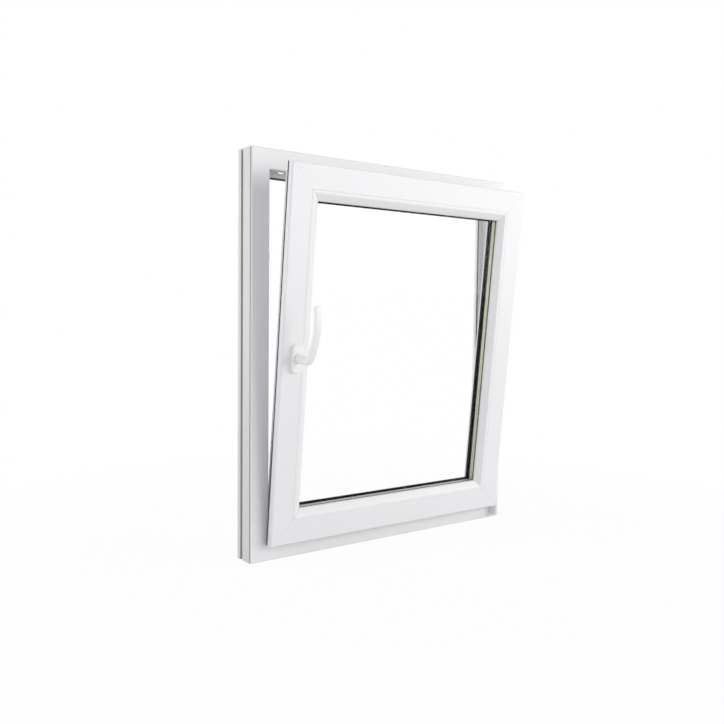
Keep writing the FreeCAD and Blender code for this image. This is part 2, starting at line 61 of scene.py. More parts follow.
# Outline of the closed window, read from the frame's and the sash's own pieces
frame_low, frame_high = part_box("frame_sill")
FRAME_HALF_WIDTH = (frame_high.x - frame_low.x) / 2.0
FRAME_HALF_HEIGHT = (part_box("frame_head")[1].z - frame_low.z) / 2.0
MIDDLE_HEIGHT = frame_low.z + FRAME_HALF_HEIGHT
ROOM_FACE = frame_low.y
joints = {joint["name"]: joint for joint in frame["joints"]}
TILT_ANGLE = -math.radians(joints["sash_tilt"]["range_deg"][0])
TILT_PIVOT = Vector(joints["sash_tilt"]["pos_m"])
SASH_HALF_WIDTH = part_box("sash_top_rail")[1].x
SASH_HALF_HEIGHT = FRAME_HALF_HEIGHT - (FRAME_HALF_WIDTH - SASH_HALF_WIDTH)
LEAN = (
    Matrix.Translation(TILT_PIVOT)
    @ Matrix.Rotation(TILT_ANGLE, 4, "X")
    @ Matrix.Translation(-TILT_PIVOT)
)

# Where the fittings sit on the closed window
LIP_WIDTH = 22.0 * MM
PLATE_LINE = -17.0 * MM
STILE_PLATE = LIP_WIDTH - SASH_HALF_WIDTH
BOTTOM_PLATE = MIDDLE_HEIGHT - SASH_HALF_HEIGHT + LIP_WIDTH
TOP_PLATE = MIDDLE_HEIGHT + SASH_HALF_HEIGHT - LIP_WIDTH
KEEP_BASE = 2.0 * MM
HINGE_PLATE_HEIGHT = 28.0 * MM
HINGE_PLATE_FRONT = ROOM_FACE - 3.0 * MM
STRAP_FACE = SASH_HALF_WIDTH + 4.0 * MM

# Where their screws sit: along a plate from the window's middle, or up a strap from the floor
KEEP_SCREW_REACH = 24.0 * MM
HINGE_SCREW_INSET = 8.0 * MM
HINGE_SCREW_REACH = 7.0 * MM
STRAP_SCREWS = (75.0 * MM, 105.0 * MM)
STILE_SCREWS = (-315.0 * MM, -165.0 * MM, -60.0 * MM, 60.0 * MM, 165.0 * MM, 315.0 * MM)
TOP_SCREWS = (-240.0 * MM, -120.0 * MM, 0.0)
BOTTOM_SCREWS = (-240.0 * MM, -80.0 * MM, 80.0 * MM, 240.0 * MM, 370.0 * MM)

# A cross recess screw
SCREW_SIDES = 24
SCREW_RADIUS = 3.6 * MM
SCREW_LENGTH = 2.0 * MM
SCREW_PROUD = 0.3 * MM
SCREW_RIM = 0.7 * MM
SCREW_CROWN = 0.15 * MM
SCREW_CROWN_STEPS = 2
RECESS_LENGTH = 4.4 * MM
RECESS_WIDTH = 0.9 * MM
RECESS_DEPTH = 1.1 * MM
RECESS_TAPER = 0.55
QUARTER_TURN = math.radians(90.0)
SCREW_SPIN = math.radians(37.0)
SMOOTH_ANGLE = math.radians(35.0)

# A face counts as an end face when its normal runs this much along the piece
END_FACE = 0.9

# The handle's lever, measured from the point where its axis leaves the upright sash
NECK_SIDES = 48
NECK_RADIUS = 11.5 * MM
NECK_START = 0.4 * MM
NECK_REACH = 52.0 * MM
GRIP_WIDTH = 19.0 * MM
GRIP_TIP_WIDTH = 16.5 * MM
GRIP_THICKNESS = 12.5 * MM
GRIP_BEVEL = 3.0 * MM
BEVEL_STEPS = 3
GRIP_REACH = 77.0 * MM
GRIP_CREST = 92.0 * MM
GRIP_LENGTH = 137.0 * MM
GRIP_ROOT_DROP = 8.0 * MM
GRIP_STEPS = 16
BOW_RADIUS = 160.0 * MM
BOW_MIDDLE = BOW_RADIUS + GRIP_THICKNESS / 2.0
BOW_CENTRE = (0.0, BOW_RADIUS - GRIP_REACH, GRIP_CREST)
ROOT_SWING = math.asin((GRIP_CREST + GRIP_ROOT_DROP) / BOW_MIDDLE)
TIP_SWING = math.asin((GRIP_LENGTH - GRIP_CREST) / BOW_MIDDLE)
ROOT_UNDERSIDE = (0.0, 0.0, -9.0 * MM)
ROOT_CORNER = (0.0, -54.0 * MM, -9.0 * MM)
ROOT_CORNER_NORMAL = (0.0, -0.55, -0.84)
CAST_GRAIN = 0.9 * MM
CAST_SOFTENING = 0.5
CAST_ROUNDS = 14

# The viewpoint of the photograph
CAMERA_PLACE = Vector((-1.4888, -1.8531, 0.6400))
CAMERA_YAW = math.radians(37.355)
CAMERA_PITCH = math.radians(-3.37)
CAMERA_ROLL = math.radians(0.628)
CAMERA_LENS = 41.30
CAMERA_SENSOR = 36.0


class Value:
    """A node's output that takes part in Python arithmetic, each sign adding its own node."""

    def __init__(self, nodes, socket):
        self.nodes = nodes
        self.socket = socket

    def maths(self, operation, first, second=None):
        sockets = {0: first}
        if second is not None:
            sockets[1] = second
        return self.nodes.node("ShaderNodeMath", {"operation": operation}, sockets)

    def __add__(self, other):
        return self.maths("ADD", self, other)

    def __radd__(self, other):
        return self.maths("ADD", other, self)

    def __sub__(self, other):
        return self.maths("SUBTRACT", self, other)

    def __rsub__(self, other):
        return self.maths("SUBTRACT", other, self)

    def __mul__(self, other):
        return self.maths("MULTIPLY", self, other)

    def __rmul__(self, other):
        return self.maths("MULTIPLY", other, self)

    def __abs__(self):
        return self.maths("ABSOLUTE", self)

    def at_most(self, other):
        return self.maths("MINIMUM", self, other)

    def to_nearest(self, pitch):
        """How far the value lies from the nearest multiple of a pitch."""
        return self.maths("PINGPONG", self, pitch / 2.0)


class Nodes:
    """The nodes of a material or a world."""

    def __init__(self, tree):
        self.tree = tree

    def node(self, kind, settings=None, sockets=None, out=0):
        """A node of any kind: its settings first, then its sockets' values or links."""
        made = self.tree.nodes.new(kind)
        for key, value in (settings or {}).items():
            setattr(made, key, value)
        for key, value in (sockets or {}).items():
            self.feed(made.inputs[key], value)
        return Value(self, made.outputs[out])

    def feed(self, socket, value):
        if isinstance(value, Value):
            self.tree.links.new(value.socket, socket)
        else:
            socket.default_value = value

    def ray(self, kind):
        """1 for rays of one kind and 0 for all others."""
        return self.node("ShaderNodeLightPath", out="Is " + kind + " Ray")

    def seen(self):
        """1 for what the camera sees, straight or by way of metal and glass."""
        return (self.ray("Camera") + self.ray("Glossy") + self.ray("Transmission")).at_most(1.0)

    def show_mixed(self, factor, first, second):
        """Puts two shaders, mixed by a factor, on the output."""
        mixed = self.node("ShaderNodeMixShader", None, {0: factor, 1: first, 2: second})
        output = next(node for node in self.tree.nodes if "Output" in node.bl_idname)
        self.feed(output.inputs["Surface"], mixed)


class Finish(Nodes):
    """One material, with its nodes and the shader that they feed."""

    def __init__(self, name):
        self.material = bpy.data.materials.new(name)
        self.material.use_nodes = True
        super().__init__(self.material.node_tree)
        self.shader = self.tree.nodes["Principled BSDF"]

    def set(self, **sockets):
        """Values or links of the shader's own sockets, with spaces written as underscores."""
        for key, value in sockets.items():
            self.feed(self.shader.inputs[key.replace("_", " ")], value)

    def surface(self):
        return Value(self, self.shader.outputs[0])

    def place(self):
        return self.node("ShaderNodeTexCoord", out="Object")

    def parts(self, vector):
        """The X, Y and Z of a vector."""
        return [self.node("ShaderNodeSeparateXYZ", sockets={0: vector}, out=axis) for axis in "XYZ"]

    def mapped(self, vector, scale=(1.0, 1.0, 1.0), location=ORIGIN, rotation=ORIGIN):
        sockets = {"Vector": vector, "Location": location, "Rotation": rotation, "Scale": scale}
        return self.node("ShaderNodeMapping", {"vector_type": "POINT"}, sockets)

    def noise(self, vector, scale=1.0, detail=2.0):
        sockets = {"Vector": vector, "Scale": scale, "Detail": detail}
        return self.node("ShaderNodeTexNoise", None, sockets)

    def mixed(self, factor, first, second):
        """Two colours mixed by a factor."""
        sockets = {0: factor, 6: first, 7: second}
        return self.node("ShaderNodeMix", {"data_type": "RGBA"}, sockets, out=2)

    def step(self, value, low, high):
        """0 below low, 1 above high and smooth between them."""
        settings = {"interpolation_type": "SMOOTHSTEP"}
        return self.node("ShaderNodeMapRange", settings, {0: value, 1: low, 2: high})

    def between(self, value, rise, fall):
        """1 from the end of a rise to the start of a fall, and 0 outside them."""
        return self.step(value, *rise) * (1.0 - self.step(value, *fall))

    def bump(self, height, distance):
        sockets = {"Height": height, "Distance": distance, "Strength": 1.0}
        return self.node("ShaderNodeBump", None, sockets)


def dimmed(colour, share):
    """A colour at a share of its brightness."""
    return rgb(*[part * share for part in colour[:3]])


def mitre_distance(finish, place, half_width, half_height):
    """How far a point lies from a rectangle's mitres: below 0 on uprights and above 0 on rails."""
    x, _, z = finish.parts(place)
    return (half_width - abs(x)) - (half_height - abs(z - MIDDLE_HEIGHT))


def upright_place(finish, leaning):
    """Object coordinates, stood upright again for the pieces of the tilted sash."""
    place = finish.place()
    if not leaning:
        return place
    back = LEAN.inverted()
    return finish.mapped(place, location=back.to_translation(), rotation=back.to_euler())


# The frame's outer side: an ivory skin darkened as painted shade, and grooves along it where little light gets in,
# darkened as painted shade.
# Each pair is where a change starts and ends, in depth from that side or along Y.
# A darker ivory for the outermost skin: painted shade with an ivory tint
SHADED_IVORY = rgb(0.69, 0.685, 0.645)
IVORY_FADE = (0.3 * MM, 1.2 * MM)
# The grey of the painted shade down in those grooves, and how much of it shows
GROOVE_SHADE_GREY = rgb(0.34, 0.335, 0.30)
GROOVE_SHADE = 0.6
GROOVE_MOUTH = (0.2 * MM, 1.5 * MM)
GROOVE_FLOOR = (15.0 * MM, 17.0 * MM)
GROOVE_FRONT = (-33.0 * MM, -32.0 * MM)
GROOVE_BACK = (20.0 * MM, 21.0 * MM)


def outer_side(finish, place, half_width, half_height, colour):
    """The frame's outer side: ivory darkened as painted shade where it meets the wall, and painted shade down in
    its grooves.
    """
    x, y, z = finish.parts(place)
    depth = (half_width - abs(x)).at_most(half_height - abs(z - MIDDLE_HEIGHT))
    # Painted shade: the outer side takes the darker ivory in place of the profile's white
    skin = 1.0 - finish.step(depth, *IVORY_FADE)
    # Painted shade on the groove walls, between their mouth and their floor
    inside = finish.between(depth, GROOVE_MOUTH, GROOVE_FLOOR)
    groove_shade_mask = inside * finish.between(y, GROOVE_FRONT, GROOVE_BACK)
    shaded_ivory = finish.mixed(skin, colour, SHADED_IVORY)
    return finish.mixed(groove_shade_mask * GROOVE_SHADE, shaded_ivory, GROOVE_SHADE_GREY)


# White plastic: the scales of its patterns, per metre, and how much each one shows
PLASTIC_CLOUD = 3.5
PLASTIC_GRAIN = 420.0
DRAWN_ACROSS = 700.0
DRAWN_ALONG = 9.0
CLOUD_TONE = 0.985
DRAWN_TONE = 0.97
PLASTIC_ROUGHNESS = 0.27
CLOUD_ROUGHNESS = 0.06
GRAIN_ROUGHNESS = 0.04
PLASTIC_RELIEF = 0.02 * MM
GRAIN_HEIGHT = 0.35
DRAWN_HEIGHT = 0.4
PLASTIC_IOR = 1.5

# The trimmed weld where two bars of the frame or the sash meet
WELD_WIDTH = 2.2 * MM
WELD_CORE = 0.3 * WELD_WIDTH
WELD_GREY = rgb(0.55, 0.55, 0.58)
WELD_HEIGHT = 6.0


def white_plastic(name, leaning, half_width, half_height, colour, weld_shade):
    """Smooth extruded plastic, faintly drawn along its length, with welded corners."""
    finish = Finish(name)
    place = upright_place(finish, leaning)
    cloud = finish.noise(place, PLASTIC_CLOUD, detail=3.0)
    grain = finish.noise(place, PLASTIC_GRAIN)
    mitre = mitre_distance(finish, place, half_width, half_height)
    on_rail = finish.step(mitre, -WELD_WIDTH / 2.0, WELD_WIDTH / 2.0)
    upright_lines = finish.mapped(place, scale=(DRAWN_ACROSS, DRAWN_ACROSS, DRAWN_ALONG))
    rail_lines = finish.mapped(place, scale=(DRAWN_ALONG, DRAWN_ACROSS, DRAWN_ACROSS))
    drawn = finish.noise(upright_lines) * (1.0 - on_rail) + finish.noise(rail_lines) * on_rail
    weld = 1.0 - finish.step(abs(mitre), WELD_CORE, WELD_WIDTH)
    clouded = finish.mixed(cloud, colour, dimmed(colour, CLOUD_TONE))
    streaked = finish.mixed(drawn, clouded, dimmed(colour, DRAWN_TONE))
    finished = finish.mixed(weld * weld_shade, streaked, WELD_GREY)
    # Only the frame gets the painted shade of its outer side and grooves
    if not leaning:
        finished = outer_side(finish, place, half_width, half_height, finished)
    height = grain * GRAIN_HEIGHT + drawn * DRAWN_HEIGHT - weld * WELD_HEIGHT
    finish.set(
        Base_Color=finished,
        Roughness=PLASTIC_ROUGHNESS + cloud * CLOUD_ROUGHNESS + grain * GRAIN_ROUGHNESS,
        Normal=finish.bump(height, PLASTIC_RELIEF),
        IOR=PLASTIC_IOR,
    )
    return finish.material


# Enamel: its patterns per metre, its gloss and its clear coat
ENAMEL_PEEL = 700.0
ENAMEL_CLOUD = 25.0
ENAMEL_TONE = 0.98
ENAMEL_ROUGHNESS = 0.30
ENAMEL_DULLING = 0.08
ENAMEL_RELIEF = 0.03 * MM
ENAMEL_COAT = 0.15
ENAMEL_COAT_RISE = 0.1


def enamel(name, colour):
    """Baked white enamel on cast metal, with a slight orange peel."""
    finish = Finish(name)
    place = finish.place()
    peel = finish.noise(place, ENAMEL_PEEL, detail=1.0)
    cloud = finish.noise(place, ENAMEL_CLOUD, detail=3.0)
    finish.set(
        Base_Color=finish.mixed(cloud, colour, dimmed(colour, ENAMEL_TONE)),
        Roughness=ENAMEL_ROUGHNESS + cloud * ENAMEL_DULLING,
        Normal=finish.bump(peel, ENAMEL_RELIEF),
        Coat_Weight=ENAMEL_COAT + cloud * ENAMEL_COAT_RISE,
    )
    return finish.material


# Moulded plastic: its patterns per metre and its dull skin
MOULDED_GRAIN = 1500.0
MOULDED_CLOUD = 40.0
MOULDED_TONE = 0.97
MOULDED_ROUGHNESS = 0.48
MOULDED_DULLING = 0.1
MOULDED_RELIEF = 0.05 * MM


def moulded_plastic(name, colour):
    """Matt moulded plastic with a fine spark eroded grain."""
    finish = Finish(name)
    place = finish.place()
    grain = finish.noise(place, MOULDED_GRAIN)
    cloud = finish.noise(place, MOULDED_CLOUD)
    finish.set(
        Base_Color=finish.mixed(cloud, colour, dimmed(colour, MOULDED_TONE)),
        Roughness=MOULDED_ROUGHNESS + grain * MOULDED_DULLING,
        Normal=finish.bump(grain, MOULDED_RELIEF),
    )
    return finish.material


# Zinc plate: its crystals, drawn lines and clouds per metre, and how much each one shows
ZINC_CRYSTAL = 260.0
ZINC_LINES = (900.0, 900.0, 60.0)
ZINC_CLOUD = 30.0
ZINC_TONE = 0.72
CRYSTAL_SHARE = 0.5
CLOUD_SHARE = 0.6
ZINC_METAL = 0.92
ZINC_METAL_RISE = 0.08
ZINC_ROUGHNESS = 0.28
LINE_DULLING = 0.16
CRYSTAL_DULLING = 0.1
ZINC_RELIEF = 0.03 * MM


def zinc_plate(name, colour):
    """Zinc plated steel: a faint crystal pattern and drawn lines."""
    finish = Finish(name)
    place = finish.place()
    cells = {"Vector": place, "Scale": ZINC_CRYSTAL}
    crystal = finish.node("ShaderNodeTexVoronoi", {"feature": "F1"}, cells, out="Distance")
    drawn = finish.noise(finish.mapped(place, scale=ZINC_LINES), detail=3.0)
    cloud = finish.noise(place, ZINC_CLOUD, detail=3.0)
    tone = (crystal * CRYSTAL_SHARE + cloud * CLOUD_SHARE).at_most(1.0)
    finish.set(
        Base_Color=finish.mixed(tone, colour, dimmed(colour, ZINC_TONE)),
        Metallic=ZINC_METAL + cloud * ZINC_METAL_RISE,
        Roughness=ZINC_ROUGHNESS + drawn * LINE_DULLING + crystal * CRYSTAL_DULLING,
        Normal=finish.bump(drawn, ZINC_RELIEF),
    )
    return finish.material


# Rubber: its bloom and skin per metre, where the bloom starts and is full, and its dull skin
RUBBER_BLOOM = 120.0
RUBBER_SKIN = 1300.0
BLOOM_RISE = (0.45, 0.8)
RUBBER_ROUGHNESS = 0.55
RUBBER_DULLING = 0.2
RUBBER_RELIEF = 0.06 * MM


def rubber(name, colour, shine, bloom_colour):
    """Soft extruded seal, dull, with a paler bloom on its skin."""
    finish = Finish(name)
    place = finish.place()
    bloom = finish.noise(place, RUBBER_BLOOM, detail=4.0)
    skin = finish.noise(place, RUBBER_SKIN)
    finish.set(
        Base_Color=finish.mixed(finish.step(bloom, *BLOOM_RISE), colour, bloom_colour),
        Roughness=RUBBER_ROUGHNESS + skin * RUBBER_DULLING,
        Normal=finish.bump(skin, RUBBER_RELIEF),
        Specular_IOR_Level=shine,
    )
    return finish.material


# The sealant on the bar between the panes, along its edge by the outer pane
SEALANT_EDGE = (-28.5 * MM, -28.1 * MM)
SEALANT_WAVE = 0.8 * MM
SEALANT_WAVINESS = 90.0
SEALANT_BLACK = rgb(0.002, 0.002, 0.002)

# The row of breathing holes along that bar, each a dark spot of painted shade
HOLE_LINE = -34.0 * MM
HOLE_PITCH = 6.0 * MM
HOLE_RADIUS = 1.5 * MM
HOLE_SQUARE = HOLE_RADIUS * HOLE_RADIUS
HOLE_SHADE = 0.9
HOLE_SHADOW = rgb(0.06, 0.06, 0.05)

# The bar's own metal, with faint clouds
SPACER_BEND = 1.0 * MM
SPACER_CLOUD = 60.0
SPACER_CLOUD_SHADE = 0.3
SPACER_TARNISH = rgb(0.1, 0.1, 0.08)
SPACER_METAL = 0.55
SPACER_ROUGHNESS = 0.42
SPACER_CLOUD_RISE = 0.1
SPACER_RELIEF = 0.1 * MM


def spacer_bar(name, upright_shade_colour, rail_colour):
    """The bent bar between the panes, with painted shade on its uprights and in its row of holes, and black
    sealant by the outer pane.
    """
    finish = Finish(name)
    place = upright_place(finish, True)
    mitre = mitre_distance(finish, place, SASH_HALF_WIDTH, SASH_HALF_HEIGHT)
    on_rail = finish.step(mitre, -SPACER_BEND, SPACER_BEND)
    # Painted shade: the uprights take a darker, yellower colour than the rails of the same bar
    colour = finish.mixed(on_rail, upright_shade_colour, rail_colour)
    x, y, z = finish.parts(place)
    wave = finish.noise(place, SEALANT_WAVINESS) * SEALANT_WAVE
    sealant = finish.step(y - wave, *SEALANT_EDGE)
    along = (z * (1.0 - on_rail) + x * on_rail).to_nearest(HOLE_PITCH)
    across = y - HOLE_LINE
    # Painted shade inside each hole
    hole = 1.0 - finish.step(along * along + across * across, HOLE_SQUARE / 2.0, HOLE_SQUARE)
    cloud = finish.noise(place, SPACER_CLOUD, detail=3.0)
    tarnished = finish.mixed(cloud * SPACER_CLOUD_SHADE, colour, SPACER_TARNISH)
    pierced = finish.mixed(hole * HOLE_SHADE, tarnished, HOLE_SHADOW)
    finish.set(
        Base_Color=finish.mixed(sealant, pierced, SEALANT_BLACK),
        Metallic=(SPACER_METAL + cloud * SPACER_CLOUD_RISE) * (1.0 - sealant),
        Roughness=SPACER_ROUGHNESS + cloud * SPACER_CLOUD_RISE,
        Normal=finish.bump(cloud - hole, SPACER_RELIEF),
    )
    return finish.material


# Glass: its haze per metre, and weak reflections as in the photograph
GLASS_HAZE = 6.0
HAZE_RISE = (0.62, 0.95)
HAZE_ROUGHNESS = 0.02
GLASS_TINT = rgb(0.997, 0.999, 0.999)
GLASS_CLEAR = rgb(0.999, 1.0, 1.0)
GLASS_IOR = 1.2
GLASS_SHEEN = rgb(0.1, 0.1, 0.1)
GLASS_SHADOW = rgb(0.965, 0.98, 0.98)


def clear_glass(name):
    """Float glass: clear, with a breath of haze, that lets the lamps' light through."""
    finish = Finish(name)
    haze = finish.noise(finish.place(), GLASS_HAZE, detail=4.0)
    finish.set(
        Base_Color=finish.mixed(haze, GLASS_TINT, GLASS_CLEAR),
        Roughness=finish.step(haze, *HAZE_RISE) * HAZE_ROUGHNESS,
        Transmission_Weight=1.0,
        IOR=GLASS_IOR,
        Specular_Tint=GLASS_SHEEN,
    )
    passing = finish.node("ShaderNodeBsdfTransparent", None, {"Color": GLASS_SHADOW})
    finish.show_mixed(finish.ray("Shadow"), finish.surface(), passing)
    return finish.material


PROFILE_WHITE = rgb(0.862, 0.862, 0.864)
BEAD_WHITE = rgb(0.867, 0.868, 0.87)
frame_plastic = white_plastic(
    "frame_plastic", False, FRAME_HALF_WIDTH, FRAME_HALF_HEIGHT, PROFILE_WHITE, weld_shade=0.10)
sash_plastic = white_plastic(
    "sash_plastic", True, SASH_HALF_WIDTH, SASH_HALF_HEIGHT, PROFILE_WHITE, weld_shade=0.16)
bead_plastic = white_plastic(
    "bead_plastic", True, SASH_HALF_WIDTH, SASH_HALF_HEIGHT, BEAD_WHITE, weld_shade=0.30)

# The finish of each material slot, apart from the profiles, which differ from frame to sash
FINISHES = {
    "white_bead": bead_plastic,
    "clear_glass": clear_glass("clear_glass"),
    # The spacer's darker upright colour is painted shade
    "spacer_metal": spacer_bar(
        "spacer_metal", upright_shade_colour=rgb(0.60, 0.585, 0.46), rail_colour=rgb(0.64, 0.64, 0.615)),
    "grey_seal": rubber(
        "grey_seal", rgb(0.12, 0.12, 0.124), shine=0.25, bloom_colour=rgb(0.19, 0.19, 0.196)),
    "black_seal": rubber(
        "black_seal", rgb(0.004, 0.004, 0.005), shine=0.1, bloom_colour=rgb(0.014, 0.014, 0.016)),
    "zinc_steel": zinc_plate("zinc_steel", rgb(0.66, 0.64, 0.58)),
    "white_hinge": enamel("white_hinge", rgb(0.90, 0.902, 0.905)),
    "white_handle": enamel("white_handle", rgb(0.89, 0.90, 0.865)),
    "white_cover": moulded_plastic("white_cover", rgb(0.83, 0.832, 0.84)),
}

# Two black seals with a bloom of their own: the one on the sash's lip and the one on the frame's stop
SEAL_FINISHES = {
    "sash_seal": rubber(
        "lip_rubber", rgb(0.03, 0.036, 0.047), shine=0.2, bloom_colour=rgb(0.16, 0.17, 0.19)),
    "frame_seal": rubber(
        "stop_rubber", rgb(0.10, 0.10, 0.104), shine=0.25, bloom_colour=rgb(0.17, 0.17, 0.176)),
}

for subpart in frame["record"]["subparts"]:
    name, slot = subpart["node"], subpart["material_slot"]
    if slot == "white_profile":
        material = sash_plastic if name.startswith("sash") else frame_plastic
    else:
        material = SEAL_FINISHES.get(name, FINISHES[slot])
    node = frame["nodes"][name]
    node.data.materials.clear()
    node.data.materials.append(material)


def select_faces(piece, wanted):
    """In edit mode, selects the faces that a test accepts and no others."""
    bpy.ops.mesh.select_all(action="DESELECT")
    bpy.ops.mesh.select_mode(type="FACE")
    shape = bmesh.from_edit_mesh(piece.data)
    for face in shape.faces:
        face.select = wanted(face)
    shape.select_flush_mode()
    bmesh.update_edit_mesh(piece.data)


def select_only(*pieces):
    """In object mode, selects these pieces and makes the first one active."""
    bpy.ops.object.select_all(action="DESELECT")
    for piece in pieces:
        piece.select_set(True)
    bpy.context.view_layer.objects.active = pieces[0]


def joined(name, *pieces):
    """The pieces as one, under a name."""
    select_only(*pieces)
    bpy.ops.object.join()
    whole = bpy.context.active_object
    whole.name = name
    whole.data.name = name
    return whole


def coated(piece, material):
    """Gives a piece one material in place of any that it has."""
    piece.data.materials.clear()
    piece.data.materials.append(material)


def recess_cutter():
    """Two tapered blades that cross, to be cut out of a screw's head."""
    bpy.ops.object.select_all(action="DESELECT")
    bpy.ops.mesh.primitive_cube_add(size=1.0, location=ORIGIN)
    cutter = bpy.context.active_object
    bpy.ops.object.mode_set(mode="EDIT")
    bpy.ops.mesh.select_all(action="SELECT")
    bpy.ops.transform.resize(value=(RECESS_LENGTH, RECESS_WIDTH, 2.0 * RECESS_DEPTH))
    bpy.ops.transform.translate(value=(0.0, 0.0, SCREW_PROUD))
    select_faces(cutter, lambda face: face.normal.z < -END_FACE)
    bpy.ops.transform.resize(value=(RECESS_TAPER, RECESS_TAPER, 1.0))
    bpy.ops.mesh.select_all(action="SELECT")
    bpy.ops.mesh.duplicate()
    bpy.ops.transform.rotate(value=QUARTER_TURN, orient_axis="Z", center_override=ORIGIN)
    bpy.ops.object.mode_set(mode="OBJECT")
    return cutter


def screw_head():
    """One crowned screw head at the origin that faces up, with its cross recess."""
    bpy.ops.object.select_all(action="DESELECT")
    bpy.ops.mesh.primitive_cylinder_add(
        vertices=SCREW_SIDES, radius=SCREW_RADIUS, depth=SCREW_LENGTH,
        location=(0.0, 0.0, SCREW_PROUD - SCREW_LENGTH / 2.0))
    head = bpy.context.active_object
    bpy.ops.object.transform_apply(location=True, rotation=True, scale=True)
    bpy.ops.object.mode_set(mode="EDIT")
    select_faces(head, lambda face: face.normal.z > END_FACE)
    for _ in range(SCREW_CROWN_STEPS):
        bpy.ops.mesh.inset(thickness=SCREW_RIM)
        bpy.ops.transform.translate(value=(0.0, 0.0, SCREW_CROWN))
    bpy.ops.object.mode_set(mode="OBJECT")
    cutter = recess_cutter()
    select_only(head)
    cut = head.modifiers.new("recess", "BOOLEAN")
    cut.operation = "DIFFERENCE"
    cut.solver = "EXACT"
    cut.use_self = True
    cut.object = cutter
    bpy.ops.object.modifier_apply(modifier=cut.name)
    bpy.data.objects.remove(cutter)
    bpy.ops.object.shade_smooth_by_angle(angle=SMOOTH_ANGLE)
    return head


def screws(name, body, slot, facing, places, leaning=False):
    """Copies of the screw at their places, joined to one piece that moves with a body."""
    turn = Vector(facing).to_track_quat("Z", "Y").to_matrix().to_4x4()
    copies = []
    for number, place in enumerate(places):
        copy = SCREW.copy()
        copy.data = SCREW.data.copy()
        bpy.context.collection.objects.link(copy)
        seat = Matrix.Translation(place) @ turn @ Matrix.Rotation(number * SCREW_SPIN, 4, "Z")
        copy.data.transform(LEAN @ seat if leaning else seat)
        copies.append(copy)
    group = joined(name, *copies)
    coated(group, FINISHES[slot])
    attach(group, body)


def keep_screws(node, facing, along):
    """The two screws at the ends of a keep's base."""
    low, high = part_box(node)
    facing, along = Vector(facing), Vector(along)
    half = (high - low) / 2.0
    seat = low + half + facing * (KEEP_BASE - abs(half.dot(facing)))
    places = [seat - along * KEEP_SCREW_REACH, seat + along * KEEP_SCREW_REACH]
    screws(node + "_screws", "frame", "zinc_steel", facing, places)


def hinge_screws(node):
    """The two screws beside a hinge's block, on its plate, which is the part by the frame's corner."""
    low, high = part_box(node)
    if low.z < MIDDLE_HEIGHT:
        middle = low.z + HINGE_PLATE_HEIGHT / 2.0
    else:
        middle = high.z - HINGE_PLATE_HEIGHT / 2.0
    heights = (middle - HINGE_SCREW_REACH, middle + HINGE_SCREW_REACH)
    x = high.x - HINGE_SCREW_INSET
    places = [Vector((x, HINGE_PLATE_FRONT, height)) for height in heights]
    screws(node + "_screws", "frame", "white_hinge", TO_ROOM, places)


def lever_grip():
    """The bowed grip: a section carried round the bow, narrower to its tip, with a rounded root."""
    bpy.ops.object.select_all(action="DESELECT")
    bpy.ops.mesh.primitive_plane_add(
        size=1.0, location=(0.0, -GRIP_REACH - GRIP_THICKNESS / 2.0, GRIP_CREST))
    grip = bpy.context.active_object
    grip.scale = (GRIP_WIDTH, GRIP_THICKNESS, 1.0)
    bpy.ops.object.transform_apply(location=True, rotation=True, scale=True)
    bpy.ops.object.mode_set(mode="EDIT")
    bpy.ops.mesh.select_all(action="SELECT")
    bpy.ops.transform.rotate(value=-ROOT_SWING, orient_axis="X", center_override=BOW_CENTRE)
    swing = (ROOT_SWING + TIP_SWING) / GRIP_STEPS
    taper = (GRIP_TIP_WIDTH / GRIP_WIDTH) ** (1.0 / GRIP_STEPS)
    for _ in range(GRIP_STEPS):
        bpy.ops.mesh.extrude_region_move()
        bpy.ops.transform.rotate(value=swing, orient_axis="X", center_override=BOW_CENTRE)
        bpy.ops.transform.resize(value=(taper, 1.0, 1.0), center_override=ORIGIN)
    bpy.ops.mesh.select_all(action="SELECT")
    bpy.ops.mesh.normals_make_consistent(inside=False)
    for place, normal in ((ROOT_UNDERSIDE, DOWN), (ROOT_CORNER, ROOT_CORNER_NORMAL)):
        bpy.ops.mesh.select_all(action="SELECT")
        bpy.ops.mesh.bisect(plane_co=place, plane_no=normal, use_fill=True, clear_outer=True)
    bpy.ops.object.mode_set(mode="OBJECT")
    rounding = grip.modifiers.new("rounding", "BEVEL")
    rounding.width = GRIP_BEVEL
    rounding.segments = BEVEL_STEPS
    rounding.limit_method = "ANGLE"
    bpy.ops.object.modifier_apply(modifier=rounding.name)
    return grip


def lever_neck():
    """The round neck, with a bevelled end inside the grip's root."""
    bpy.ops.object.select_all(action="DESELECT")
    bpy.ops.mesh.primitive_cylinder_add(
        vertices=NECK_SIDES, radius=NECK_RADIUS, depth=NECK_REACH - NECK_START,
        rotation=(math.pi / 2.0, 0.0, 0.0), location=(0.0, -(NECK_START + NECK_REACH) / 2.0, 0.0))
    neck = bpy.context.active_object
    bpy.ops.object.transform_apply(location=True, rotation=True, scale=True)
    bpy.ops.object.mode_set(mode="EDIT")
    select_faces(neck, lambda face: face.normal.y < -END_FACE)
    bpy.ops.mesh.bevel(offset=GRIP_BEVEL, segments=BEVEL_STEPS)
    bpy.ops.object.mode_set(mode="OBJECT")
    return neck


def cast_lever():
    """Neck and grip, run together and softened as one casting."""
    grip, neck = lever_grip(), lever_neck()
    lever = joined("cast_lever", grip, neck)
    skin = lever.modifiers.new("skin", "REMESH")
    skin.mode = "VOXEL"
    skin.voxel_size = CAST_GRAIN
    bpy.ops.object.modifier_apply(modifier=skin.name)
    soften = lever.modifiers.new("soften", "SMOOTH")
    soften.factor = CAST_SOFTENING
    soften.iterations = CAST_ROUNDS
    bpy.ops.object.modifier_apply(modifier=soften.name)
    bpy.ops.object.shade_smooth()
    axis = Vector(joints["handle_turn"]["pos_m"])
    lever.data.transform(Matrix.Translation(axis) @ Matrix.Rotation(TILT_ANGLE, 4, "X"))
    coated(lever, FINISHES["white_handle"])
    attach(lever, "handle")
    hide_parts("handle_lever")


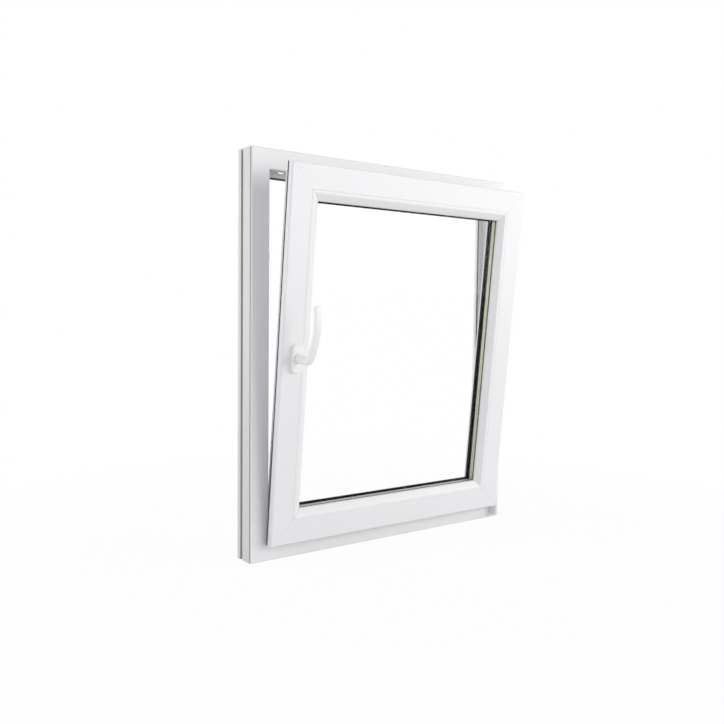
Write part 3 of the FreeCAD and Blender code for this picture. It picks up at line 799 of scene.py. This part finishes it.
SCREW = screw_head()
keep_screws("keep_head", DOWN, RIGHT)
keep_screws("keep_sill", UP, RIGHT)
keep_screws("keep_jamb_upper", RIGHT, UP)
keep_screws("keep_jamb_lower", RIGHT, UP)
hinge_screws("corner_hinge_bracket")
hinge_screws("stay_hinge_bracket")
screws("sash_hinge_strap_screws", "sash", "white_hinge", RIGHT,
       [Vector((STRAP_FACE, TILT_PIVOT.y, height)) for height in STRAP_SCREWS], leaning=True)
screws("stile_face_plate_screws", "sash", "zinc_steel", LEFT,
       [Vector((STILE_PLATE, PLATE_LINE, MIDDLE_HEIGHT + reach)) for reach in STILE_SCREWS],
       leaning=True)
screws("top_face_plate_screws", "sash", "zinc_steel", UP,
       [Vector((reach, PLATE_LINE, TOP_PLATE)) for reach in TOP_SCREWS], leaning=True)
screws("bottom_face_plate_screws", "sash", "zinc_steel", DOWN,
       [Vector((reach, PLATE_LINE, BOTTOM_PLATE)) for reach in BOTTOM_SCREWS], leaning=True)
bpy.data.objects.remove(SCREW)
cast_lever()


# The studio: a floor just under the window, and even surroundings.
# The floor's glow rises with the square of the distance from the window, from near to far.
PLAIN_WHITE = rgb(1.0, 1.0, 1.0)
FLOOR_SIZE = 30.0
FLOOR_DROP = 0.5 * MM
FLOOR_SPECK = 30.0
FLOOR_DARK = rgb(0.84, 0.84, 0.84)
FLOOR_PALE = rgb(0.86, 0.86, 0.86)
FLOOR_ROUGHNESS = 0.9
FLOOR_GLOW = 0.955
FLOOR_GLOW_RISE = 1.0 - FLOOR_GLOW
FLOOR_NEAR_TO_FAR = (0.5, 2.5)
FILL_COLOUR = rgb(0.93, 0.93, 1.0)
FILL_STRENGTH = 0.595


def pale_floor():
    """A wide floor that looks nearly white and still takes the window's soft shadow."""
    bpy.ops.object.select_all(action="DESELECT")
    bpy.ops.mesh.primitive_plane_add(size=FLOOR_SIZE, location=(0.0, 0.0, frame_low.z - FLOOR_DROP))
    floor = bpy.context.active_object
    floor.name = "floor"
    finish = Finish("pale_floor")
    place = finish.place()
    speck = finish.noise(place, FLOOR_SPECK)
    finish.set(Base_Color=finish.mixed(speck, FLOOR_DARK, FLOOR_PALE), Roughness=FLOOR_ROUGHNESS)
    x, y, _ = finish.parts(place)
    away = finish.step(x * x + y * y, *FLOOR_NEAR_TO_FAR)
    glow = finish.node("ShaderNodeEmission", None, {"Color": PLAIN_WHITE, "Strength": 1.0})
    finish.show_mixed(finish.seen() * (FLOOR_GLOW + away * FLOOR_GLOW_RISE), finish.surface(), glow)
    coated(floor, finish.material)


def studio_world():
    """Even pale surroundings, plain white where they are seen."""
    world = bpy.data.worlds.new("studio")
    world.use_nodes = True
    bpy.context.scene.world = world
    nodes = Nodes(world.node_tree)
    fill = nodes.node("ShaderNodeBackground", None, {"Color": FILL_COLOUR, "Strength": FILL_STRENGTH})
    plain = nodes.node("ShaderNodeBackground", None, {"Color": PLAIN_WHITE, "Strength": 1.0})
    nodes.show_mixed(nodes.seen(), fill, plain)


def soft_lamp(name, place, aim, size, power, colour):
    """A large square lamp that faces a point."""
    bpy.ops.object.light_add(type="AREA", location=place)
    lamp = bpy.context.active_object
    lamp.name = name
    lamp.rotation_mode = "QUATERNION"
    lamp.rotation_quaternion = (Vector(aim) - Vector(place)).to_track_quat("-Z", "Y")
    lamp.data.shape = "SQUARE"
    lamp.data.size = size
    lamp.data.energy = power
    lamp.data.color = colour


def camera_at_viewpoint():
    """The camera that takes the photograph's view."""
    forward = Vector((
        math.sin(CAMERA_YAW) * math.cos(CAMERA_PITCH),
        math.cos(CAMERA_YAW) * math.cos(CAMERA_PITCH),
        math.sin(CAMERA_PITCH),
    ))
    right = Vector((math.cos(CAMERA_YAW), -math.sin(CAMERA_YAW), 0.0))
    up = right.cross(forward)
    turned_right = right * math.cos(CAMERA_ROLL) + up * math.sin(CAMERA_ROLL)
    turned_up = up * math.cos(CAMERA_ROLL) - right * math.sin(CAMERA_ROLL)
    columns = Matrix((turned_right, turned_up, -forward)).transposed()
    bpy.ops.object.camera_add()
    camera = bpy.context.active_object
    camera.matrix_world = Matrix.Translation(CAMERA_PLACE) @ columns.to_4x4()
    camera.data.sensor_width = CAMERA_SENSOR
    camera.data.lens = CAMERA_LENS
    bpy.context.scene.camera = camera


pale_floor()
studio_world()
soft_lamp("key_lamp", place=(4.0, -4.7, 1.0), aim=(0.0, 0.0, 0.45), size=6.0, power=305.0,
          colour=(1.0, 0.978, 0.94))
soft_lamp("left_lamp", place=(-3.6, -0.5, 1.2), aim=(-0.4, -0.05, 0.6), size=2.0, power=20.0,
          colour=(1.0, 0.98, 0.95))
soft_lamp("back_lamp", place=(-2.2, 3.2, 1.6), aim=(0.0, 0.0, 0.5), size=4.0, power=42.0,
          colour=(1.0, 0.995, 0.99))
camera_at_viewpoint()
bpy.context.scene.view_settings.view_transform = "Standard"
